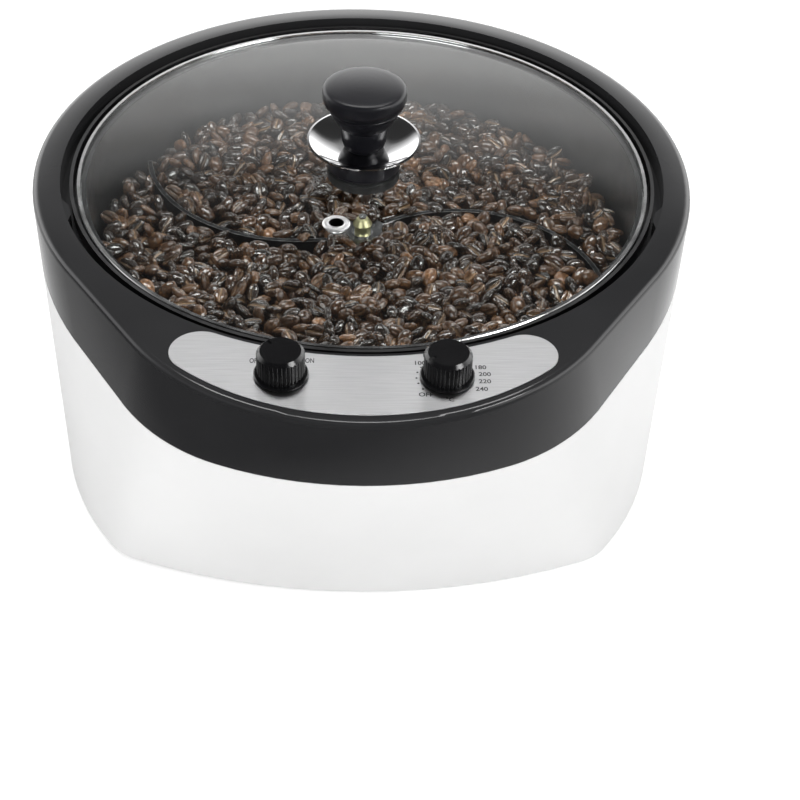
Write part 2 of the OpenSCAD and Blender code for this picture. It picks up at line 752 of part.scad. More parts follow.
module bracket_screws() {
    color("silver") on_axis() bracket_places() {
        rod(screw_r, bottom_z - 1, floor_z + bracket_t);
        translate([0, 0, floor_z + bracket_t]) cylinder(r1 = screw_head_r, r2 = screw_head_r * 0.8, h = screw_head_h);
    }
}

module case_screw_places() {
    for (x = [case_x[0] + case_screw_inset, case_x[1] - case_screw_inset],
         y = [case_y[0] + case_screw_inset, case_y[1] - case_screw_inset]) translate([x, y, 0]) children();
}

module case_outline(inset) {
    r = case_corner_r - inset;
    for (x = [case_x[0] + case_corner_r, case_x[1] - case_corner_r],
         y = [case_y[0] + case_corner_r, case_y[1] - case_corner_r]) translate([x, y]) circle(r = r, $fn = 32);
    translate([case_x[0] + case_corner_r, case_y[0] + inset])
        square([case_x[1] - case_x[0] - 2 * case_corner_r, case_y[1] - case_y[0] - 2 * inset]);
    translate([case_x[0] + inset, case_y[0] + case_corner_r])
        square([case_x[1] - case_x[0] - 2 * inset, case_y[1] - case_y[0] - 2 * case_corner_r]);
}

module motor_can() {
    bottom = bracket_z - motor_h;
    color("#c8cacc") on_axis() translate([rotor_at[0], rotor_at[1], 0]) difference() {
        rod(motor_r, bottom, bracket_z);
        rod(motor_r - 1, bottom + 1, bracket_z + 1);
        rod(pin_r + running_fit, bottom - 1, bottom + 2);
    }
}

module stator_coil() {
    color("#b5652a") on_axis() translate([rotor_at[0], rotor_at[1], 0])
        tube(motor_r - 1, 12, bracket_z - motor_h + 3, bracket_z - 3.5);
}

module rotor_magnet() {
    color("#4a4a4d") on_axis() translate([rotor_at[0], rotor_at[1], 0])
        tube(11, pin_r, bracket_z - motor_h + 3, bracket_z - 3.5);
}

module rotor_pinion() {
    color("silver") on_axis() translate([rotor_at[0], rotor_at[1], 0]) {
        rod(pin_r, bracket_z - motor_h, fast_gear_z + fast_gear_t);
        translate([0, 0, fast_gear_z]) rotate([0, 0, 180 / pinion_teeth]) linear_extrude(fast_gear_t)
            gear_outline(pinion_teeth, fast_module);
    }
}

module gear_case() {
    color("#8a8d90") on_axis() difference() {
        union() {
            difference() {
                translate([0, 0, bracket_z]) linear_extrude(case_h - cover_t) case_outline(0);
                translate([0, 0, bracket_z + case_floor_t]) linear_extrude(case_h) case_outline(case_wall);
            }
            case_screw_places() rod(3.6, bracket_z + 1, case_top_z - cover_t);
            rod(bush_r + 2, bracket_z + 1, boss_top_z);
        }
        rod(bush_r, bracket_z - 1, bracket_z + case_floor_t + 3);
        translate([idler_at[0], idler_at[1], 0]) rod(pin_r, bracket_z - 1, bracket_z + case_floor_t + 1);
        translate([rotor_at[0], rotor_at[1], 0]) rod(pin_r + running_fit, bracket_z - 1, bracket_z + case_floor_t + 1);
        case_screw_places() rod(pin_r + 0.1, bracket_z - 1, case_top_z + 1);
    }
}

module case_cover() {
    color("#8a8d90") on_axis() difference() {
        union() {
            translate([0, 0, case_top_z - cover_t]) linear_extrude(cover_t) case_outline(0);
            rod(bush_r + 2, case_top_z - 1, case_top_z + 3);
        }
        rod(bush_r, case_top_z - cover_t - 1, case_top_z + 5);
        translate([idler_at[0], idler_at[1], 0]) rod(pin_r, case_top_z - cover_t - 1, case_top_z + 1);
        case_screw_places() rod(pin_r + 0.1, case_top_z - cover_t - 1, case_top_z + 1);
    }
}

module case_screws() {
    color("silver") on_axis() case_screw_places() {
        rod(pin_r, bracket_z - 3.5, case_top_z);
        translate([0, 0, case_top_z]) cylinder(r1 = 3, r2 = 2.4, h = 1.6);
    }
}

module idler_pin() {
    color("silver") on_axis() translate([idler_at[0], idler_at[1], 0]) rod(pin_r, bracket_z, case_top_z);
}

module idler_gear() {
    color("ivory") on_axis() translate([idler_at[0], idler_at[1], 0]) difference() {
        union() {
            translate([0, 0, fast_gear_z]) rotate([0, 0, 180])
                linear_extrude(fast_gear_t) gear_outline(wheel_teeth, fast_module);
            rod(slow_module * (pinion_teeth / 2 - root_share), fast_gear_z + 1, slow_gear_z + 1);
            translate([0, 0, slow_gear_z - 0.5]) rotate([0, 0, 270 + 180 / pinion_teeth]) linear_extrude(slow_gear_t + 1)
                gear_outline(pinion_teeth, slow_module);
        }
        rod(pin_r + running_fit, fast_gear_z - 1, slow_gear_z + slow_gear_t + 2);
    }
}

module output_gear() {
    color("ivory") on_axis() difference() {
        union() {
            translate([0, 0, slow_gear_z]) rotate([0, 0, 90])
                linear_extrude(slow_gear_t) gear_outline(wheel_teeth, slow_module);
            rod(7.5, boss_top_z + 0.1, slow_gear_z + 1);
        }
        rod(shaft_r, boss_top_z - 1, slow_gear_z + slow_gear_t + 1);
    }
}

// Shaft with a threaded end, which has the lathe's centre hole
module drive_shaft() {
    centre_hole_r = 0.9;
    color("silver") on_axis() difference() {
        union() {
            rod(shaft_r, bracket_z + 0.5, hub_top_z);
            rod(thread_r, hub_top_z - cut, shaft_end_z);
        }
        rod(centre_hole_r, shaft_end_z - 2, shaft_end_z + cut);
    }
}

module shaft_bushes() {
    color("#b08d57") on_axis() {
        tube(bush_r, shaft_r + running_fit, bracket_z, boss_top_z);
        tube(bush_r, shaft_r + running_fit, case_top_z - cover_t - 0.5, case_top_z + 3);
    }
}

module shaft_clip() {
    color("silver") on_axis() tube(shaft_r + 3, shaft_r, case_top_z + 3.3, case_top_z + 4.5);
}

module shaft_seal() {
    color("#b8401f") on_axis() tube(tube_r, shaft_r + running_fit, pan_floor_z + tube_h - 6, pan_floor_z + tube_h);
}

// ---------------------------------------------------------------- stirrer

// Upright vane bent on a circle that runs through the axis; it is cut down under the hub's disc
module vane(bend_r, turn, reach) {
    root = 2 * asin((hub_r - 1) / (2 * bend_r));
    tip = 2 * asin(reach / (2 * bend_r));
    difference() {
        translate([bend_r * cos(turn), bend_r * sin(turn), pan_floor_z + vane_clearance]) rotate([0, 0, turn + 180 - tip])
            rotate_extrude(angle = tip - root) translate([bend_r - vane_t / 2, 0]) square([vane_t, vane_h]);
        rod(disc_r + 1, hub_top_z - 0.6, hub_top_z + vane_h);
    }
}

module stirrer() {
    color("#303033") on_axis() {
        difference() {
            rod(hub_r, hub_bottom_z, hub_top_z);
            rod(tube_r + tube_t + 0.6, hub_bottom_z - 1, pan_floor_z + tube_h + 1);
            rod(shaft_r, hub_bottom_z - 1, hub_top_z + 1);
        }
        vane(long_vane_bend, long_vane_turn, pan_r - long_vane_gap);
        vane(short_vane_bend, short_vane_turn, pan_r - short_vane_gap);
    }
}

module hub_disc() {
    color("#4a4b4d") on_axis() difference() {
        rotate_extrude() polygon([[0, hub_top_z], [disc_r - 0.4, hub_top_z], [disc_r, hub_top_z + 0.5],
            [disc_r, disc_top_z - 0.8], [disc_r - 0.8, disc_top_z - 0.1], [washer_r + 1, disc_top_z],
            [0, disc_top_z]]);
        rod(thread_r, hub_top_z - 1, disc_top_z + 1);
    }
}

module lock_washer() {
    color("silver") on_axis() tube(washer_r, thread_r, disc_top_z, disc_top_z + washer_t);
}

// Nut with a round body and a grooved cone
module dome_nut() {
    grooves = 10;
    body_r = 4.1;
    cone_r = 4.85;
    tip_r = 2.9;
    body_top = nut_z + nut_body_h;
    top = body_top + nut_cone_h;
    color("#c9bd72") on_axis() difference() {
        rotate_extrude() polygon([[thread_r, nut_z], [body_r, nut_z], [body_r, body_top], [cone_r, body_top],
            [cone_r, body_top + 0.6], [tip_r, top], [thread_r, top]]);
        for (i = [0:grooves - 1]) rotate([0, 0, i * 360 / grooves]) translate([cone_r + 0.55, 0, body_top + 2.2])
            rotate([0, -38, 0]) cylinder(r = 0.5, h = 6, center = true, $fn = 16);
    }
}

// ---------------------------------------------------------------- console controls

module at_switch() { translate([-knob_side, knob_y, 0]) children(); }
module at_thermostat() { translate([knob_side, knob_y, 0]) children(); }

module control_body() {
    difference() {
        union() {
            translate([-10, -8.5, controls_bottom_z]) cube([20, 17, control_depth]);
            rod(bushing_r, controls_top_z - 1, plate_top_z + nut_t + 0.4);
        }
        rod(control_shaft_r + running_fit, controls_bottom_z + 3, body_h + 20);
    }
}

module control_nut() {
    difference() {
        rod_hex(nut_r, plate_top_z, plate_top_z + nut_t);
        rod(bushing_r, body_h - 5, body_h + 10);
    }
}

module rod_hex(r, z0, z1) {
    translate([0, 0, z0]) cylinder(r = r, h = z1 - z0, $fn = 6);
}

module control_shaft() {
    rod(control_shaft_r, controls_bottom_z + 3.2, shaft_top_z);
}

// Fluted knob with a bevelled top, a thin ring at its foot and a pointer notch along +X
module knob() {
    z0 = plate_top_z + knob_gap;
    top = z0 + knob_h;
    ring_h = 1.4;
    bevel = 1.6;
    difference() {
        rotate_extrude() polygon([[0, z0], [knob_ring_r - 0.3, z0], [knob_ring_r, z0 + 0.3],
            [knob_ring_r, z0 + ring_h - 0.4], [knob_ring_r - 0.5, z0 + ring_h], [knob_r, z0 + ring_h],
            [knob_r - 0.1, top - bevel], [knob_r - bevel, top], [0, top]]);
        for (i = [0:knob_flutes - 1]) rotate([0, 0, (i + 0.5) * 360 / knob_flutes])
            translate([knob_r + 0.25, 0, z0 + ring_h + 0.3])
            cylinder(r = 0.62, h = knob_h, $fn = 16);
        rod(nut_r + 0.8, z0 - 1, plate_top_z + nut_t + 1.2);
        rod(control_shaft_r, z0 - 1, shaft_top_z);
        translate([knob_r - 4.2, -0.6, top - 0.7]) cube([6, 1.2, 2]);
    }
}

module switch_body() { color("#e8e4da") on_axis() at_switch() control_body(); }
module switch_shaft() { color("silver") on_axis() at_switch() control_shaft(); }
module switch_nut() { color("silver") on_axis() at_switch() control_nut(); }
module switch_knob() { color("#18181a") on_axis() at_switch() rotate([0, 0, switch_off_angle]) knob(); }
module thermostat_body() { color("#c8cacc") on_axis() at_thermostat() control_body(); }
module thermostat_shaft() { color("silver") on_axis() at_thermostat() control_shaft(); }
module thermostat_nut() { color("silver") on_axis() at_thermostat() control_nut(); }
module thermostat_knob() { color("#18181a") on_axis() at_thermostat() rotate([0, 0, thermostat_rest_angle]) knob(); }

// ---------------------------------------------------------------- wiring

module terminal_block() {
    color("ivory") on_axis() difference() {
        translate(terminal_at - [terminal_size[0] / 2, terminal_size[1] / 2, 0])
            cube(concat(terminal_size, terminal_h));
        for (i = [-2.5:2.5]) translate(terminal_at + [i * terminal_pitch, 0, terminal_h - terminal_depth])
            cylinder(r = 2.4, h = terminal_depth + 1, $fn = 24);
    }
}

// Insulated wire that rises from the terminal block's i-th hole and runs by way of c to a point
module wire(i, rise, c, end) {
    from = terminal_at + [i * terminal_pitch, 0, terminal_h - terminal_depth + 0.4];
    swept(bend(from, from + [0, 0, rise], c, end, 14), wire_r);
}

module heater_wire(i, side) {
    pin = heater_end(side) + [0, 0, heater_pin_z];
    wire(i, wire_rise, pin - [0, 0, wire_drop], pin - [0, 0, 0.3]);
}

module wiring() {
    color("#b33a2e") on_axis() {
        heater_wire(-1.5, -1);
        wire(2.5, wire_rise, thermostat_bend, [knob_side + 5, knob_y, controls_bottom_z - 0.9]);
    }
    color("#2e5fb3") on_axis() {
        heater_wire(-2.5, 1);
        wire(1.5, wire_rise, switch_bend, [-knob_side, knob_y, controls_bottom_z - 0.9]);
        motor_side = [rotor_at[0], rotor_at[1] + motor_r + 0.2, bracket_z - 10];
        wire(-0.5, wire_rise / 2, [motor_side[0], motor_side[1] + 31.4, floor_z + 24.5], motor_side);
    }
}

// ---------------------------------------------------------------- lid

module lid_glass() {
    steps = 12;
    edge = lid_r - lid_rim_t - 0.05;
    dome = lid_r - lid_rim_lip;
    top = [for (i = [0:steps]) let (r = dome * (1 - i / steps)) [r, glass_height(r)]];
    under = [for (p = top) [p[0], p[1] - glass_t]];
    under_out = [for (i = [steps:-1:0]) under[i]];
    color([0.75, 0.8, 0.8, 0.35]) on_axis() difference() {
        rotate_extrude() polygon(concat([[edge, glass_edge_z - glass_t], [edge, glass_edge_z]], top, under_out));
        rod(handle_screw_r + 0.5, glass_edge_z - 10, glass_top_z + 10);
        translate([-vent_left, -vent_front, 0]) rod(vent_bore_r + 0.9, glass_edge_z - 10, glass_top_z + 10);
    }
}

module lid_rim() {
    t = lid_rim_t;
    top = flange_z + lid_rim_h;
    inner_r = lid_r - t;
    lip = lid_r - lid_rim_lip;
    foot = lip - 0.5;
    color("silver") on_axis() rotate_extrude() polygon([[foot, flange_z], [lid_r, flange_z], [lid_r, top - 0.4],
        [lid_r - 0.4, top], [lip, top], [lip, top - t], [inner_r, top - t], [inner_r, flange_z + t],
        [foot, flange_z + t]]);
}

module vent_eyelet() {
    out = norm([vent_left, vent_front]);
    seat = glass_height(out - vent_r);
    under = glass_height(out + vent_r) - glass_t;
    color("silver") on_axis() translate([-vent_left, -vent_front, 0]) rotate_extrude() polygon([
        [vent_bore_r, under - 0.6], [vent_r - 1.6, under - 0.6], [vent_r - 1.6, under], [vent_bore_r + 0.85, under],
        [vent_bore_r + 0.85, seat], [vent_r, seat], [vent_r, seat + 0.4], [vent_r - 0.6, seat + 0.9],
        [vent_r - 1.2, seat + 0.9], [vent_r - 1.7, seat + 0.6], [vent_bore_r + 0.9, seat + 0.6],
        [vent_bore_r + 0.6, seat + 0.9], [vent_bore_r + 0.2, seat + 0.9], [vent_bore_r, seat + 0.6]]);
}

module handle_base() {
    color("#1c1c1e") on_axis() difference() {
        rotate_extrude() polygon([[0, glass_top_z], [handle_base_r - 0.6, glass_top_z],
            [handle_base_r, glass_top_z + 0.6], [handle_base_r, dish_z - 0.6], [handle_base_r - 1.2, dish_z],
            [0, dish_z]]);
        rod(handle_screw_r + 0.1, glass_top_z - cut, dish_z + cut);
    }
}

module handle_dish() {
    n = 6;
    flat = grip_foot_r + 1.5;
    rise = [for (i = [0:n]) let (k = i / n) [flat + (dish_r - 1 - flat) * k, dish_z + dish_depth * k * k]];
    back = [for (i = [n:-1:0]) rise[i] + [0, dish_t]];
    edge = [[dish_r, dish_z + dish_depth + 0.2], [dish_r, dish_z + dish_depth + 0.9]];
    color("silver") on_axis() difference() {
        rotate_extrude() polygon(concat([[0, dish_z]], rise, edge, back, [[0, dish_z + dish_t]]));
        rod(handle_screw_r + 0.1, dish_z - cut, dish_z + dish_t + cut);
    }
}

// Grip with a broad, slightly domed cap over a stepped waist
module handle_grip() {
    z = dish_z + dish_t;
    waist = [[grip_foot_r, 0], [10.3, 1.6], [11, 4], [11.3, 7], [11.5, 10.5], [11.4, 12], [11.1, 12.3],
        [12.3, 12.9], [14.9, 16.4], [16.9, 20], [17.7, 22.2], [17.3, 22.7], [17.9, 23.2]];
    shoulder = concat(arc([grip_r - 8, 28.5], 8, -41, 0, 5), arc([grip_r - 2.6, grip_h - 4], 2.6, 0, 70, 5));
    dome = [for (r = [16:-4:0]) [r, grip_h - 1.3 * pow(r / 18, 2)]];
    color("#1c1c1e") on_axis() translate([0, 0, z]) difference() {
        rotate_extrude() polygon(concat([[0, 0]], waist, shoulder, dome));
        rod(handle_screw_r, -cut, 16);
    }
}

module handle_screw() {
    color("silver") on_axis() {
        rod(handle_screw_r, handle_head_z, dish_z + dish_t + 14);
        translate([0, 0, handle_head_z - handle_head_h])
            cylinder(r1 = handle_head_r - 0.8, r2 = handle_head_r, h = handle_head_h);
    }
}

module handle_washer() {
    color("#1c1c1e") on_axis() difference() {
        tube(handle_base_r - 0.3, handle_screw_r, handle_washer_z, glass_height(handle_base_r) - glass_t - 0.02);
        rod(handle_head_r + 0.3, handle_washer_z - cut, handle_head_z);
    }
}

// ---------------------------------------------------------------- drawing

outer_shell();
top_frame();
console_plate();
roasting_pan();
pan_posts();
post_screws();
heating_ring();
heater_clips();
clip_studs();
clip_nuts();
heat_shield();
bottom_plate();
feet();
base_screws();
frame_screws();
motor_bracket();
bracket_screws();
motor_can();
stator_coil();
rotor_magnet();
rotor_pinion();
gear_case();
case_cover();
case_screws();
idler_pin();
idler_gear();
output_gear();
drive_shaft();
shaft_bushes();
shaft_clip();
shaft_seal();
stirrer();
hub_disc();
lock_washer();
dome_nut();
switch_body();
switch_shaft();
switch_nut();
switch_knob();
thermostat_body();
thermostat_shaft();
thermostat_nut();
thermostat_knob();
sensing_bulb();
thermal_fuse();
terminal_block();
wiring();
cord_gland();
lid_glass();
lid_rim();
vent_eyelet();
handle_base();
handle_dish();
handle_grip();
handle_screw();
handle_washer();
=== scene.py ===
"""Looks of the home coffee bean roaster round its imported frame.

Materials for every CAD node, the beans in the pan, the lettering on the console plate,
the floor, the light and the camera. Metres, in the frame's own axes: +Z is up, -Y is the
front with the knobs.
"""

import json
import math
import random

import bmesh
import bpy
from mathutils import Euler, Matrix, Quaternion, Vector
from mathutils.bvhtree import BVHTree


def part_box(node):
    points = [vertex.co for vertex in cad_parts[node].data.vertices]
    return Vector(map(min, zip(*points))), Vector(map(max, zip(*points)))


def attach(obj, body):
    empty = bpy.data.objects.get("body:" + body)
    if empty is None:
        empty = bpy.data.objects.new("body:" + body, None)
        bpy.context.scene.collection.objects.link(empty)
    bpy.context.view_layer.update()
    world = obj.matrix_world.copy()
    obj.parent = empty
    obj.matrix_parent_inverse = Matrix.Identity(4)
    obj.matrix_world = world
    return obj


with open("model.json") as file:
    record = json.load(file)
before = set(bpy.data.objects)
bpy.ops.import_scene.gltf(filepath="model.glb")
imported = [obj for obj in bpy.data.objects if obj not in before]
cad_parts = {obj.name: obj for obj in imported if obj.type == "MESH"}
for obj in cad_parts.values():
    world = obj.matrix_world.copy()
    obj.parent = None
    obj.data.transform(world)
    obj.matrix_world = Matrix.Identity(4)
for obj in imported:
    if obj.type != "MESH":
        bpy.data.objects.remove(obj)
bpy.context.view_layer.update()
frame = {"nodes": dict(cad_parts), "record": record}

MM = 0.001
MICRON = 0.000001


def added(name, data):
    """A new object in the scene."""
    made = bpy.data.objects.new(name, data)
    bpy.context.scene.collection.objects.link(made)
    return made


def emptied(owner):
    """Nodes and links of a material or world, with nothing in them."""
    owner.use_nodes = True
    owner.node_tree.nodes.clear()
    return owner.node_tree.nodes, owner.node_tree.links


# ------------------------------------------------------------------ places from the frame


def axis_of(node):
    """Where the middle of a round node stands on the floor."""
    low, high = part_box(node)
    return Vector(((low.x + high.x) / 2, (low.y + high.y) / 2, 0))


def reach(node, axis):
    """Points of a node as (distance from an axis, height)."""
    return [((v.co - axis).to_2d().length, v.co.z) for v in frame["nodes"][node].data.vertices]


PAN_AXIS = axis_of("roasting_pan")
PLATE_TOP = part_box("console_plate")[1].z
DISC_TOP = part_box("hub_disc")[1].z
PAN_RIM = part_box("lid_rim")[0].z
VENT_AXIS = axis_of("vent_eyelet")
VENT_BORE_R = min(r for r, _ in reach("vent_eyelet", VENT_AXIS))
VANE_ROOT_R = 30 * MM
VANE_TOP = max(z for r, z in reach("stirrer", PAN_AXIS) if r > VANE_ROOT_R)

# ------------------------------------------------------------------ camera

CAMERA_AT = Vector((-7.2, -656.6, 610.5)) * MM
CAMERA_TOWARDS = Vector((0.03342, 0.74871, -0.66206))
CAMERA_ROLL = math.radians(2.223)
SENSOR = 36.0   # millimetres, as is LENS
LENS = 71.4
CLIP = (0.05, 50)


def make_camera():
    """Camera where the photo was taken from."""
    data = bpy.data.cameras.new("camera")
    data.sensor_width = SENSOR
    data.lens = LENS
    data.clip_start, data.clip_end = CLIP
    camera = added("camera", data)
    camera.rotation_mode = "QUATERNION"
    camera.location = CAMERA_AT
    camera.rotation_quaternion = CAMERA_TOWARDS.to_track_quat("-Z", "Y") @ Quaternion((0, 0, 1), CAMERA_ROLL)
    bpy.context.scene.camera = camera


# ------------------------------------------------------------------ shader nodes


def maths(nodes, links, operation, first, second, kind="ShaderNodeMath", output="Value"):
    """Output of a Math or Vector Math node over an output and either an output or a plain value."""
    node = nodes.new(kind)
    node.operation = operation
    links.new(first, node.inputs[0])
    if isinstance(second, bpy.types.NodeSocket):
        links.new(second, node.inputs[1])
    else:
        node.inputs[1].default_value = second
    return node.outputs[output]


def ranged(nodes, links, source, start, end, low=0.0, high=1.0):
    """Output that goes from low to high while the source goes from start to end."""
    node = nodes.new("ShaderNodeMapRange")
    for name, value in (("From Min", start), ("From Max", end), ("To Min", low), ("To Max", high)):
        node.inputs[name].default_value = value
    links.new(source, node.inputs["Value"])
    return node.outputs["Result"]


def emitter(nodes, kind, strength):
    """A white emission or background shader."""
    shader = nodes.new(kind)
    shader.inputs["Color"].default_value = (1, 1, 1, 1)
    shader.inputs["Strength"].default_value = strength
    return shader


def mixed(nodes, links, factor, first, second):
    """The first shader where factor is 0, the second where it is 1."""
    mix = nodes.new("ShaderNodeMixShader")
    links.new(factor, mix.inputs["Fac"])
    links.new(first.outputs[0], mix.inputs[1])
    links.new(second.outputs[0], mix.inputs[2])
    return mix


def fill_ramp(ramp, stops):
    """Gives a colour ramp its (position, colour) stops."""
    while len(ramp.elements) < len(stops):
        ramp.elements.new(0.5)
    for element, (position, colour) in zip(ramp.elements, stops):
        element.position = position
        element.color = (*colour, 1)


# ------------------------------------------------------------------ materials

NOISE_LOW, NOISE_HIGH = 0.3, 0.7        # most of a noise lies between these
MIX_INPUTS, MIX_OUTPUT = (0, 6, 7), 2   # a Mix node's factor and colours, whose names repeat

# scales of the noises, in cells to the metre
CLOUDS = 14
MOULD_GRAIN = 2400
METAL_MARKS = 90
BRUSHING = 60
GLASS_CLOUDS = 9
INK_GRAIN = 1500
BEAN_MOTTLING = 700
BEAN_DENTS = 300

PLASTIC_ROUGH_SPREAD = 0.03    # up and down from a plastic's roughness
METAL_ROUGH_SPREAD = 0.25      # the same for a metal, as a share of its roughness
BRUSHED_ALONG_X = (1, 60, 60)


class Paint:
    """A material with a Principled shader, and short calls for its nodes."""

    def __init__(self, name, **sockets):
        self.material = bpy.data.materials.new(name)
        self.nodes, self.links = emptied(self.material)
        self.output = self.nodes.new("ShaderNodeOutputMaterial")
        self.shader = self.nodes.new("ShaderNodeBsdfPrincipled")
        self.links.new(self.shader.outputs["BSDF"], self.output.inputs["Surface"])
        for socket, value in sockets.items():
            self.shader.inputs[socket.replace("_", " ")].default_value = value

    def grain(self, scale, stretch=(1, 1, 1), detail=3.0):
        """Noise over the object, with scale cells to the metre; stretch multiplies it along X, Y and Z."""
        place = self.nodes.new("ShaderNodeTexCoord")
        mapping = self.nodes.new("ShaderNodeMapping")
        mapping.inputs["Scale"].default_value = stretch
        grain = self.nodes.new("ShaderNodeTexNoise")
        grain.inputs["Scale"].default_value = scale
        grain.inputs["Detail"].default_value = detail
        self.links.new(place.outputs["Object"], mapping.inputs["Vector"])
        self.links.new(mapping.outputs["Vector"], grain.inputs["Vector"])
        return grain.outputs["Fac"]

    def ramp(self, source, stops):
        """Colour that follows source through (position, colour) stops."""
        ramp = self.nodes.new("ShaderNodeValToRGB")
        fill_ramp(ramp.color_ramp, stops)
        self.links.new(source, ramp.inputs["Fac"])
        return ramp.outputs["Color"]

    def colour(self, source):
        """Makes an output the base colour, and gives it back."""
        self.links.new(source, self.shader.inputs["Base Color"])
        return source

    def tint(self, noise, dark, pale):
        """Base colour from dark to pale over the middle of a noise."""
        return self.colour(self.ramp(noise, ((NOISE_LOW, dark), (NOISE_HIGH, pale))))

    def mix(self, factor, first, second, how="MIX"):
        """Colour that is first where factor is 0, and second where it is 1."""
        mix = self.nodes.new("ShaderNodeMix")
        mix.data_type = "RGBA"
        mix.blend_type = how
        for value, socket in zip((factor, first, second), (mix.inputs[i] for i in MIX_INPUTS)):
            if isinstance(value, bpy.types.NodeSocket):
                self.links.new(value, socket)
            else:
                socket.default_value = value
        return mix.outputs[MIX_OUTPUT]

    def cover(self, factor, first, second):
        """Base colour from an output where factor is 0, and a plain colour where it is 1."""
        self.colour(self.mix(factor, first, (*second, 1)))

    def spread(self, noise, socket, low, high):
        """Drives a socket between low and high over the middle of a noise."""
        value = ranged(self.nodes, self.links, noise, NOISE_LOW, NOISE_HIGH, low, high)
        self.links.new(value, self.shader.inputs[socket])

    def attribute(self, name):
        """Number that the mesh holds at each point."""
        node = self.nodes.new("ShaderNodeAttribute")
        node.attribute_name = name
        return node.outputs["Fac"]

    def vector_maths(self, operation, first, second, output="Value"):
        """Output of a Vector Math node."""
        return maths(self.nodes, self.links, operation, first, second, "ShaderNodeVectorMath", output)

    def bump(self, source, depth, strength=1.0, socket="Normal"):
        """Raises the surface, or with Coat Normal only its coat, by up to depth."""
        bump = self.nodes.new("ShaderNodeBump")
        bump.inputs["Distance"].default_value = depth
        bump.inputs["Strength"].default_value = strength
        self.links.new(source, bump.inputs["Height"])
        self.links.new(bump.outputs["Normal"], self.shader.inputs[socket])


def moulded(name, dark, pale, rough, depth, shine=0.5):
    """Moulded plastic or rubber: hardly varied colour and a fine moulded grain."""
    paint = Paint(name, Specular_IOR_Level=shine)
    cloud = paint.grain(CLOUDS)
    paint.tint(cloud, dark, pale)
    paint.spread(cloud, "Roughness", rough - PLASTIC_ROUGH_SPREAD, rough + PLASTIC_ROUGH_SPREAD)
    paint.bump(paint.grain(MOULD_GRAIN, detail=2), depth * MICRON)
    return paint.material


def worked_metal(name, dark, pale, rough, depth=10):
    """Bare or plated metal with faint marks."""
    paint = Paint(name, Metallic=1.0)
    marks = paint.grain(METAL_MARKS, detail=5)
    paint.tint(marks, dark, pale)
    paint.spread(marks, "Roughness", rough * (1 - METAL_ROUGH_SPREAD), rough * (1 + METAL_ROUGH_SPREAD))
    paint.bump(marks, depth * MICRON)
    return paint.material


def brushed_steel():
    """Console plate, brushed along X, which smears reflections along Y."""
    paint = Paint("console_steel", Metallic=1.0, Anisotropic=0.97)
    streaks = paint.grain(BRUSHING, BRUSHED_ALONG_X, detail=6)
    paint.tint(streaks, (0.38, 0.38, 0.384), (0.47, 0.47, 0.475))
    paint.spread(streaks, "Roughness", 0.3, 0.38)
    paint.bump(streaks, 20 * MICRON)
    across = paint.nodes.new("ShaderNodeTangent")
    across.direction_type = "RADIAL"
    across.axis = "X"
    paint.links.new(across.outputs["Tangent"], paint.shader.inputs["Tangent"])
    return paint.material


def pan_coating():
    """Dark non-stick coating, painted near black on the flange round the lid as painted shade in the gap
    there.
    """
    paint = Paint("dark_coating", Metallic=1.0)
    place = paint.nodes.new("ShaderNodeTexCoord")
    parts = paint.nodes.new("ShaderNodeSeparateXYZ")
    paint.links.new(place.outputs["Object"], parts.inputs["Vector"])
    # painted shade: near black above the foot of the lid's rim, where the flange sits in the gap
    flange_shade = ranged(paint.nodes, paint.links, parts.outputs["Z"], PAN_RIM - 0.4 * MM, PAN_RIM - 0.2 * MM)
    marks = paint.grain(METAL_MARKS, detail=5)
    paint.spread(marks, "Roughness", 0.3, 0.5)
    coat = paint.tint(marks, (0.16, 0.16, 0.162), (0.19, 0.19, 0.192))
    paint.cover(flange_shade, coat, (0.045, 0.045, 0.046))
    return paint.material


def shaded_bore_steel():
    """Bright steel of the vent's eyelet, its bore painted black as painted shade inside the hole."""
    paint = Paint("eyelet_steel", Metallic=1.0, Roughness=0.45)
    place = paint.nodes.new("ShaderNodeTexCoord").outputs["Object"]
    flat = paint.vector_maths("MULTIPLY", place, (1, 1, 0), "Vector")
    away = paint.vector_maths("DISTANCE", flat, VENT_AXIS)
    # painted shade: the steel turns black just round the bore
    bore_shade = ranged(paint.nodes, paint.links, away, VENT_BORE_R + 0.3 * MM, VENT_BORE_R + 0.1 * MM)
    steel = paint.tint(paint.grain(METAL_MARKS), (0.84, 0.84, 0.84), (0.92, 0.92, 0.92))
    paint.cover(bore_shade, steel, (0.01, 0.01, 0.01))
    return paint.material


def highlit_edge_casting():
    """Dark coated casting with a painted highlight: pale grey on its rounded edges."""
    paint = Paint("dark_casting", Metallic=1.0)
    marks = paint.grain(METAL_MARKS, detail=5)
    paint.spread(marks, "Roughness", 0.3, 0.5)
    skin = paint.tint(marks, (0.03, 0.03, 0.031), (0.05, 0.05, 0.051))
    # painted highlight: pale grey where the rounded normal leaves the flat one, along the edges
    rounded = paint.nodes.new("ShaderNodeBevel")
    rounded.inputs["Radius"].default_value = 0.5 * MM
    flat = paint.nodes.new("ShaderNodeNewGeometry")
    same = paint.vector_maths("DOT_PRODUCT", rounded.outputs["Normal"], flat.outputs["Normal"])
    edge_highlight = ranged(paint.nodes, paint.links, same, 0.99, 0.93)
    paint.cover(edge_highlight, skin, (0.5, 0.5, 0.5))
    return paint.material


